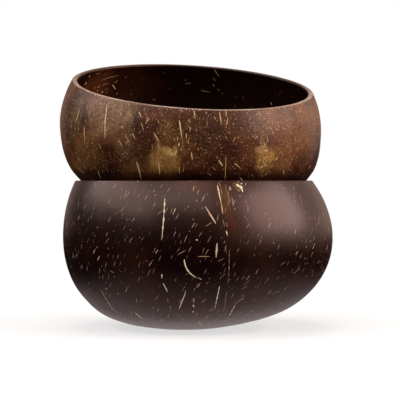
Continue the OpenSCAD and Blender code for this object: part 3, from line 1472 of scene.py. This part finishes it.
# Each stroke: the pixels that it crosses, its width in millimetres, its tone and its taper.
# Each patch: its middle and half sizes in pixels, its colour, strength and fibrous share.
LOWER_STROKES: tuple[Stroke, ...] = (
    Stroke(((164.9, 198), (163.6, 220), (161.7, 241)), 1.25, 0.95, 0.6),
    Stroke(((216, 224), (210, 214.5), (205, 206)), 1.1, 0.75, 0.5),
    Stroke(((184, 259), (185, 265.7), (188.2, 271.6), (192.6, 275.8), (197, 278)), 1.0, 0.95, 0.6),
    Stroke(((217, 243), (216, 258)), 0.95, 0.85, 0.7),
    Stroke(((197.6, 277.8), (202, 279.6)), 0.5, 0.75, 0.7),
    Stroke(((193.6, 298), (193.8, 303)), 0.55, 0.7, 0.8),
    Stroke(((193.4, 304.6), (193.6, 307)), 0.9, 0.95, 0.8),
    Stroke(((193, 311), (193.2, 312.6)), 0.8, 0.85, 0.8),
    Stroke(((203, 302), (206, 298.6)), 0.45, 0.6, 0.7),
    Stroke(((167.4, 298.4), (168.4, 302.4)), 0.4, 0.45, 0.8),
    Stroke(((170.2, 306), (170, 309)), 0.55, 0.5, 0.8),
    Stroke(((197.8, 284.4), (196.2, 288.4)), 0.5, 0.4, 0.7),
    Stroke(((206, 283.6), (208.6, 282)), 0.5, 0.4, 0.7),
    Stroke(((198, 256.5), (210, 256.5)), 0.5, 0.6, 0.8),
    Stroke(((229.4, 250), (228.9, 272), (227.6, 286)), 0.5, 0.45, 0.8),
    Stroke(((226.4, 292), (225, 302), (223.6, 311)), 0.5, 0.3, 0.8),
    Stroke(((101.3, 290.4), (106.1, 299), (111.4, 307.5), (119, 314.5)), 0.5, 0.9, 0.8),
    Stroke(((134.5, 312.3), (143, 319.3)), 0.75, 0.9, 0.6),
    Stroke(((162.9, 282.9), (167.7, 292)), 0.75, 0.95, 0.6),
    Stroke(((161.8, 274.3), (161.8, 278.6)), 0.7, 0.95, 0.7),
    Stroke(((179, 309), (186, 291.4)), 0.8, 0.95, 0.5),
    Stroke(((219.6, 286), (214.5, 310)), 0.8, 0.95, 0.6),
    Stroke(((235, 305), (225, 324)), 0.7, 0.9, 0.6),
    Stroke(((199, 321), (201, 326)), 0.5, 0.7, 0.6),
    Stroke(((217.1, 184.6), (218.8, 192), (221, 203)), 1.0, 0.8, 0.5),
    Stroke(((222.7, 214.4), (221.9, 207), (220.6, 200)), 0.8, 0.62, 0.5),
    Stroke(((217.9, 182.4), (220.7, 186)), 0.45, 0.62, 0.7),
    Stroke(((220.5, 187), (222.5, 195)), 0.4, 0.4, 0.7),
    Stroke(((228, 190), (229.3, 203)), 0.45, 0.3, 0.7),
    Stroke(((225.2, 184), (227.4, 197)), 0.4, 0.3, 0.7),
    Stroke(((229.3, 186.6), (231, 190)), 0.8, 0.7, 0.7),
    Stroke(((231.8, 196.6), (233.2, 206.6)), 0.6, 0.4, 0.7),
    Stroke(((222.9, 219.4), (224.6, 227.3)), 0.5, 0.35, 0.7),
    Stroke(((226.4, 222.3), (227.1, 227.3)), 0.5, 0.4, 0.7),
    Stroke(((226.1, 230.9), (227.5, 235.9)), 0.7, 0.8, 0.6),
    Stroke(((225, 246.6), (226.8, 253.7)), 0.5, 0.3, 0.7),
    Stroke(((236.2, 184.4), (239.6, 187.2)), 1.5, 1.0, 0.9),
    Stroke(((238.2, 186.2), (243, 188)), 1.5, 1.0, 0.8),
    Stroke(((240.6, 187.4), (243, 192.2)), 1.1, 1.0, 0.5),
    Stroke(((237.4, 189.8), (240.2, 191.8)), 0.55, 0.55, 0.7),
    Stroke(((240.8, 184.2), (242, 182.8)), 0.9, 0.85, 0.7),
    Stroke(((126.5, 189.6), (123.8, 199.3)), 0.7, 0.45, 0.6),
    Stroke(((194, 185.5), (193, 191.8)), 0.6, 0.5, 0.6),
    Stroke(((150, 189.6), (146, 195.5)), 0.5, 0.3, 0.6),
    Stroke(((175.8, 207.9), (172.5, 215.4)), 0.6, 0.6, 0.6),
    Stroke(((97.5, 260.4), (99.7, 255.6)), 0.6, 0.8, 0.7),
    Stroke(((93.2, 254), (95.4, 248.6)), 0.5, 0.7, 0.7),
    Stroke(((149, 265.8), (151.6, 262)), 0.55, 0.7, 0.7),
    Stroke(((155.4, 254), (158, 249.7)), 0.5, 0.7, 0.7),
    Stroke(((177.4, 255), (186, 250.2)), 0.4, 0.6, 0.7),
    Stroke(((109.8, 270.6), (114.7, 273.3)), 0.45, 0.4, 0.7),
    Stroke(((105, 288), (107.5, 290)), 0.9, 0.5, 0.8),
    Stroke(((196.2, 239.4), (197.2, 240.6)), 0.8, 0.9, 0.8),
)
LOWER_PATCHES: tuple[Patch, ...] = (
    Patch((227, 204), (12, 36), tint("2c1400"), 0.95, 0.45),
    Patch((225, 198), (7, 26), tint("6e4804"), 0.9, 0.6),
    Patch((231, 218), (6, 18), tint("561e02"), 0.85, 0.5),
    Patch((238, 186), (6, 5), tint("94703c"), 0.8, 0.3),
    Patch((193, 184), (24, 9), tint("5e3020"), 0.6, 0.3),
)

UPPER_STROKES: tuple[Stroke, ...] = (
    Stroke(((107.1, 104.6), (105, 122.5), (104.8, 138.3)), 0.95, 0.95, 0.7),
    Stroke(((79.6, 107.9), (75.4, 124.6)), 0.75, 0.8, 0.6),
    Stroke(((84.2, 125.4), (84.6, 144.2)), 0.65, 0.75, 0.6),
    Stroke(((68.8, 110.8), (65.4, 121.7)), 0.5, 0.5, 0.6),
    Stroke(((87.1, 105), (87.5, 110.4)), 0.5, 0.4, 0.6),
    Stroke(((138.8, 112.1), (141.7, 117.9)), 0.6, 0.75, 0.6),
    Stroke(((149.6, 118.8), (147, 121), (145.8, 124.2)), 0.5, 0.7, 0.6),
    Stroke(((141.3, 122.9), (143.8, 131.7)), 0.4, 0.65, 0.7),
    Stroke(((132.1, 132.9), (135.4, 139.2)), 0.6, 0.75, 0.6),
    Stroke(((121.3, 126.3), (122.9, 128.3)), 0.9, 0.7, 0.8),
    Stroke(((124.6, 134.6), (130.4, 143.3)), 0.4, 0.65, 0.7),
    Stroke(((118.3, 139.2), (122.5, 146.7)), 0.6, 0.7, 0.6),
    Stroke(((153.8, 133.3), (159.2, 141.7)), 0.75, 0.75, 0.6),
    Stroke(((179.2, 120), (180.4, 128.3), (182.1, 138.3)), 0.8, 0.85, 0.6),
    Stroke(((177.5, 136.7), (177.5, 140.8)), 0.6, 0.7, 0.7),
    Stroke(((186.3, 133.3), (186.3, 138.3)), 0.6, 0.7, 0.7),
    Stroke(((194, 110), (195, 119)), 0.7, 0.6, 0.6),
    Stroke(((219, 110), (221.5, 125)), 0.7, 0.6, 0.6),
    Stroke(((226, 111), (226, 117)), 0.5, 0.7, 0.7),
    Stroke(((228, 118), (226, 126)), 0.5, 0.7, 0.7),
    Stroke(((136.3, 161.3), (139.2, 170), (141.3, 180)), 0.8, 0.95, 0.6),
    Stroke(((97.9, 170.4), (100.8, 178.8)), 0.7, 0.75, 0.6),
    Stroke(((77.1, 167.9), (84.6, 173.3)), 0.7, 0.4, 0.7),
    Stroke(((158.3, 146), (158.8, 152)), 0.45, 0.5, 0.7),
    Stroke(((158.4, 161.5), (159.2, 168), (159.8, 174.5)), 0.7, 0.85, 0.7),
    Stroke(((179, 143), (178.6, 147)), 0.8, 0.8, 0.7),
    Stroke(((191, 129.5), (189.2, 126.5)), 0.5, 0.45, 0.7),
    Stroke(((146.8, 119.6), (149.4, 118.2)), 0.4, 0.55, 0.7),
    Stroke(((158.6, 146.5), (158.4, 154.6)), 0.4, 0.5, 0.8),
    Stroke(((196.6, 150.4), (199.4, 147.6)), 0.4, 0.35, 0.7),
    Stroke(((202.8, 154.6), (208.6, 151.6)), 0.35, 0.3, 0.7),
    Stroke(((194.6, 145.6), (196.4, 142.2)), 0.4, 0.4, 0.7),
    Stroke(((215.8, 158.4), (218.2, 156)), 0.4, 0.4, 0.7),
    Stroke(((181, 147.5), (181.2, 151)), 0.55, 0.7, 0.8),
    Stroke(((176.6, 150.5), (174.6, 156)), 0.75, 0.85, 0.7),
    Stroke(((172.3, 152.6), (172.6, 155.4)), 0.6, 0.9, 0.8),
    Stroke(((174.6, 138.3), (174.6, 141)), 0.5, 0.6, 0.8),
    Stroke(((179.4, 166.5), (179.4, 174)), 0.55, 0.7, 0.7),
    Stroke(((174.6, 163.5), (174.9, 167)), 0.5, 0.5, 0.8),
    Stroke(((152.2, 145), (152.8, 149)), 0.4, 0.45, 0.8),
    Stroke(((168, 122), (167.6, 128)), 0.4, 0.4, 0.8),
    Stroke(((164, 132.5), (164.4, 135.5)), 0.5, 0.55, 0.8),
    Stroke(((191.3, 152), (192.4, 160.6)), 0.7, 0.85, 0.6),
    Stroke(((218.5, 160.2), (222.8, 166.2)), 0.8, 0.9, 0.6),
    Stroke(((182.3, 139), (183, 147.5)), 0.45, 0.3, 0.7),
    Stroke(((189.6, 131), (190.6, 127)), 0.5, 0.6, 0.7),
    Stroke(((186.6, 143.6), (189.8, 137.6)), 0.4, 0.5, 0.7),
    Stroke(((226, 155), (225, 180)), 0.45, 0.65, 0.8),
    Stroke(((234, 163), (240, 168)), 0.6, 0.7, 0.6),
    Stroke(((283, 170), (284, 175)), 0.6, 0.7, 0.6),
    Stroke(((277.9, 157), (275.7, 160.7)), 0.7, 0.9, 0.6),
    Stroke(((258, 161.3), (261.5, 158.8)), 0.6, 0.85, 0.7),
    Stroke(((262.9, 159.1), (266.1, 157), (268.2, 156.2)), 0.55, 0.8, 0.7),
    Stroke(((268.2, 159.1), (272, 155.4)), 0.6, 0.6, 0.7),
    Stroke(((264.2, 162.9), (267.7, 159.1)), 0.5, 0.65, 0.7),
    Stroke(((259.9, 168.5), (262.6, 165.5)), 0.6, 0.85, 0.7),
    Stroke(((257.2, 165.5), (258.8, 167.9)), 0.5, 0.75, 0.7),
    Stroke(((262.9, 158.6), (263.7, 164.5), (267.1, 167.1)), 0.45, 0.65, 0.8),
    Stroke(((270.4, 168.7), (273.6, 163.9)), 0.5, 0.45, 0.7),
    Stroke(((264.5, 150.5), (267.7, 151.1)), 0.7, 0.85, 0.8),
    Stroke(((279.2, 153.7), (280.5, 151.1)), 0.5, 0.5, 0.7),
    Stroke(((262, 177.3), (262.3, 174.5)), 0.5, 0.6, 0.7),
    Stroke(((265.3, 175.7), (266, 173)), 0.5, 0.6, 0.7),
    Stroke(((90, 75.6), (88.9, 78.4)), 1.0, 0.9, 0.5),
    Stroke(((84.6, 85.2), (87.0, 82.2)), 0.7, 0.75, 0.5),
    Stroke(((100.3, 80.7), (110, 77.4), (119.4, 75.3)), 0.4, 0.35, 0.5),
    Stroke(((114.5, 83.4), (117.8, 80.2)), 0.55, 0.7, 0.5),
    Stroke(((112.3, 85.1), (115.6, 89.4)), 0.75, 0.85, 0.5),
    Stroke(((97.2, 87.6), (99.8, 86)), 0.5, 0.7, 0.5),
    Stroke(((101.8, 92.6), (103.2, 91.6)), 0.8, 0.9, 0.5),
    Stroke(((97.0, 91.0), (98.0, 90.3)), 0.6, 0.7, 0.5),
    Stroke(((93.6, 88.4), (94.6, 87.4)), 0.6, 0.7, 0.5),
    Stroke(((96, 74.2), (99.8, 73)), 0.5, 0.4, 0.5),
    Stroke(((102.5, 85.5), (108, 83)), 0.4, 0.4, 0.5),
    Stroke(((104, 89.5), (109, 88.4)), 0.35, 0.35, 0.5),
    Stroke(((125.4, 76.3), (125.9, 78.5)), 0.5, 0.35, 0.5),
    Stroke(((116.4, 94.2), (117.2, 93.2)), 0.5, 0.5, 0.5),
    Stroke(((131.2, 94.6), (131.6, 93)), 0.5, 0.5, 0.5),
    Stroke(((185.3, 84), (191.3, 82.9)), 0.8, 0.12, 0.5),
    Stroke(((214.2, 69.3), (216.6, 73), (219.7, 77.4)), 0.6, 0.7, 0.5),
    Stroke(((213.1, 78), (215.8, 81.3)), 0.5, 0.6, 0.5),
    Stroke(((212.6, 84.5), (214.8, 86.7)), 0.55, 0.6, 0.5),
    Stroke(((217, 88.9), (219.7, 91)), 0.5, 0.55, 0.5),
    Stroke(((200.6, 90.5), (206.6, 91.6), (211, 92.7)), 0.4, 0.5, 0.5),
    Stroke(((271, 102), (272, 106)), 0.5, 0.7, 0.5),
)
UPPER_PATCHES: tuple[Patch, ...] = (
    # lighter left side: partly the shell's tan, partly painted light from the left
    Patch((110, 114), (32, 26), tint("a88464"), 0.7, 0.0),
    Patch((100, 160), (34, 22), tint("38180b"), 0.8, 0.0),
    Patch((93, 157), (22, 18), tint("8a5c28"), 0.6, 0.7),
    Patch((206, 130), (32, 28), tint("36180b"), 0.95, 0.0),
    # lighter left edge: partly the shell's tone, partly painted light
    Patch((75, 120), (16, 26), tint("7a5636"), 0.75, 0.2),
    # painted highlight where the right-hand light falls
    Patch((265, 125), (16, 22), tint("8a644a"), 0.7, 0.0),
    Patch((125, 144), (13, 20), tint("94704e"), 0.6, 0.15),
    Patch((146, 153), (10, 20), tint("240e05"), 0.8, 0.0),
    Patch((167, 130), (10, 19), tint("8e6234"), 0.85, 0.35),
    Patch((163, 163), (17, 18), tint("e0a858"), 1.0, 0.3),
    Patch((155, 173), (12, 7), tint("b87c34"), 0.9, 0.3),
    Patch((157, 157), (3, 13), tint("c89450"), 0.9, 0.5),
    Patch((178.5, 165), (2.5, 12), tint("b8823c"), 0.9, 0.5),
    Patch((167.5, 161), (6, 7), tint("b07c50"), 0.8, 0.0),
    Patch((168, 151.5), (6.5, 6), tint("f4c880"), 1.0, 0.2),
    Patch((175.5, 153), (3.2, 8), tint("e0ac60"), 1.0, 0.6),
    Patch((172, 168), (8, 9), tint("c0904a"), 0.9, 0.3),
    Patch((265, 161), (12, 18), tint("cc9850"), 1.0, 0.3),
    # painted sheen at the right edge, where the shell reflects the bright surround
    Patch((312, 125), (16, 44), tint("7e6250"), 0.75, 0.0),
    Patch((262, 149.5), (9, 4.5), tint("d8a878"), 0.9, 0.2),
    Patch((270, 157), (6, 6), tint("d0a04c"), 0.9, 0.3),
    Patch((129, 114), (4, 8), tint("b08a5c"), 0.75, 0.2),
)

LOWER_BOWL = Bowl(
    name="lower_shell",
    node="lower_bowl",
    body="lower",
    slot="dark_shell",
    section=Section(
        belly_r=69.0 * MM, rim_inset=8.5 * MM, rim_rise=29.5 * MM, turn_r=42.0 * MM,
        base_sag=4.6 * MM),
    drift=Drift((
        (-45.5 * MM, -4.8 * MM), (-38 * MM, -2.2 * MM), (-30 * MM, -0.3 * MM), (-12 * MM, 1.4 * MM),
        (4 * MM, 1.6 * MM), (20 * MM, 0.7 * MM), (29.5 * MM, -0.3 * MM))),
    bulge=Bulge(
        amount=0.65 * MM, upward=(0, 0, 1), begins=(-46 * MM, -42.5 * MM),
        ends=(-39.5 * MM, -30 * MM), left_only=True),
    uneven_from=(-44 * MM, -38 * MM),
    uneven_to=(18 * MM, 27 * MM),
    seat=Seat("foot", (0, 0, -1)),
    outside=Polish(
        name="dark_polished_shell",
        clouds=(
            (0.15, tint("120101")), (0.45, tint("1a0302")),
            (0.72, tint("270b06")), (1.0, tint("3c190c"))),
        cloud_mm=26.0,
        streak_depth=0.30,
        dashes=(
            Dashes(cell_mm=3.6, length_mm=4.2, width_mm=0.31, share=0.48, slant=24, scatter=10),
            Dashes(cell_mm=2.8, length_mm=1.2, width_mm=0.36, share=0.20, slant=24, scatter=50,
                   shift_mm=17.0),
        ),
        dash_colours=(tint("7c584a"), tint("eed6c0")),
        dash_strength=0.9,
        grain_depth=0.25,
        speckle=0.30,
        roughness=0.36,
        specular=0.50,
        sheen_tint=tint("ffd2c4"),
        coat=0.10,
        coat_roughness=0.25,
    ),
    cut=CutEdge("dark_cut_shell", dark=tint("2a1610"), light=tint("664636")),
    cut_facing=0.93,
    inside=InnerPolish(
        name="dark_scraped_shell",
        deep=tint("1a0806"),
        warm=tint("35170e"),
        bottom=tint("40200f"),
        flecks=Dashes(cell_mm=5.0, length_mm=2.6, width_mm=0.4, share=0.35, slant=20, scatter=60,
                      shift_mm=5.0),
        fleck_colour=tint("8a5c34"),
    ),
    fibre_finish=FibreFinish("dark_shell_fibre", (
        (0.0, tint("43241a")), (0.35, tint("93674a")),
        (0.7, tint("d2ac80")), (1.0, tint("fff0c8")))),
    strokes=LOWER_STROKES,
    strewn=(
        Strew(count=210, length_mm=(1.8, 4.6), width_mm=(0.18, 0.32), tone=(0.40, 0.90),
              slant=25, scatter=16, bend=8, low_angle=-62, high_angle=24),
        Strew(count=60, length_mm=(6, 20), width_mm=(0.35, 0.9), tone=(0.35, 0.95),
              slant=0, scatter=26, bend=26, low_angle=-55, high_angle=20, back_only=True),
        Strew(count=70, length_mm=(2, 9), width_mm=(0.3, 0.6), tone=(0.1, 0.5),
              slant=0, scatter=40, bend=20, low_angle=-70, high_angle=20, inside=True),
    ),
    patches=LOWER_PATCHES,
    inner_patches=(),
    seed=11,
)

UPPER_BOWL = Bowl(
    name="upper_shell",
    node="upper_bowl",
    body="upper",
    slot="brown_shell",
    section=Section(
        belly_r=67.25 * MM, rim_inset=5.75 * MM, rim_rise=22.0 * MM, turn_r=43.0 * MM,
        base_sag=3.1 * MM),
    drift=Drift((
        (-45 * MM, 0.0), (-30 * MM, -0.1 * MM), (-18 * MM, -0.4 * MM), (0.0, -1.0 * MM),
        (22 * MM, -0.9 * MM))),
    bulge=Bulge(
        amount=0.80 * MM, upward=UPPER_PLUMB, begins=(-28.4 * MM, -20.5 * MM),
        ends=(-21 * MM, -3 * MM)),
    uneven_from=(-16 * MM, -6 * MM),
    uneven_to=(12 * MM, 20 * MM),
    seat=Seat("upper_rim", (0, 0, 1)),
    outside=Polish(
        name="brown_polished_shell",
        clouds=(
            (0.15, tint("3c1a0d")), (0.42, tint("582c16")),
            (0.66, tint("764424")), (0.95, tint("98683c"))),
        cloud_mm=19.0,
        streak_depth=0.20,
        dashes=(
            Dashes(cell_mm=3.0, length_mm=2.4, width_mm=0.36, share=0.50, slant=-26, scatter=26),
            Dashes(cell_mm=1.8, length_mm=0.8, width_mm=0.50, share=0.75, slant=-20, scatter=90,
                   shift_mm=17.0),
            Dashes(cell_mm=1.1, length_mm=0.5, width_mm=0.34, share=0.45, slant=0, scatter=90,
                   shift_mm=9.0),
        ),
        dash_colours=(tint("b08264"), tint("f6d6ac")),
        dash_strength=1.0,
        grain_depth=0.15,
        speckle=0.55,
        roughness=0.42,
        specular=0.38,
        sheen_tint=tint("ffd8c4"),
        coat=0.06,
        coat_roughness=0.28,
        # painted shade above the seam, where the upper bowl sits in the lower one
        seam_shade=PaintedSeamShade(
            upward=UPPER_PLUMB, dark_below=-26.5, clear_above=-19.5, colour=tint("6e4e42")),
    ),
    cut=CutEdge("brown_cut_shell", dark=tint("5c4232"), light=tint("b8a492")),
    cut_facing=0.90,
    inside=InnerPolish(
        name="brown_scraped_shell",
        deep=tint("040101"),
        warm=tint("160404"),
        bottom=tint("4a2713"),
        flecks=Dashes(cell_mm=5.5, length_mm=2.8, width_mm=0.45, share=0.35, slant=30, scatter=60,
                      shift_mm=5.0),
        fleck_colour=tint("a8743c"),
    ),
    fibre_finish=FibreFinish("brown_shell_fibre", (
        (0.0, tint("6b4426")), (0.35, tint("a87c4a")),
        (0.7, tint("dcb478")), (1.0, tint("ffe8b2")))),
    strokes=UPPER_STROKES,
    strewn=(
        Strew(count=240, length_mm=(1.0, 3.4), width_mm=(0.26, 0.44), tone=(0.30, 0.8),
              slant=-26, scatter=34, bend=10, low_angle=-60, high_angle=14),
        Strew(count=60, length_mm=(5, 16), width_mm=(0.35, 0.8), tone=(0.4, 0.95),
              slant=-4, scatter=18, bend=16, low_angle=-50, high_angle=10, back_only=True),
        Strew(count=90, length_mm=(2, 8), width_mm=(0.3, 0.6), tone=(0.05, 0.5),
              slant=30, scatter=40, bend=20, low_angle=-70, high_angle=12, inside=True,
              front_only=True),
    ),
    patches=UPPER_PATCHES,
    inner_patches=(
        # lighter inner left wall: partly the shell's brown streaks, partly painted light
        Patch((118, 84), (56, 30), tint("34150c"), 0.8, 0.0),
        Patch((96, 85), (30, 24), tint("6a3820"), 0.75, 0.5),
    ),
    seed=23,
)

STUDIO = Studio(softboxes=(
    Softbox("left_box", place=(-1.58, -0.28, 1.24), width=2.8, height=1.1, watts=31.0,
            colour=(1.0, 0.92, 0.90)),
    Softbox("right_box", place=(1.70, -0.42, 0.95), width=1.9, height=1.35, watts=40.0,
            colour=(1.0, 0.88, 0.84)),
    Softbox("top_box", place=(-0.1, 0.2, 2.0), width=1.2, height=1.2, watts=20.0),
    Softbox("front_top_box", place=(-0.25, -1.35, 1.50), width=1.5, height=1.0, watts=13.0,
            colour=(1.0, 0.94, 0.92)),
))


def main() -> None:
    """Builds the bowls in order, and then the studio round them."""
    logging.basicConfig(level=logging.INFO, format="%(message)s")
    bpy.context.scene.view_settings.view_transform = "Standard"
    view = Viewpoint()
    camera = view.stand(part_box("lower_bowl")[1][2])
    for bowl in (LOWER_BOWL, UPPER_BOWL):
        for piece in bowl.build(view, camera, frame["record"]):
            LOG.info("%s: %d faces", piece.name, len(piece.data.polygons))
    STUDIO.set_up()


if __name__ == "__main__":
    main()
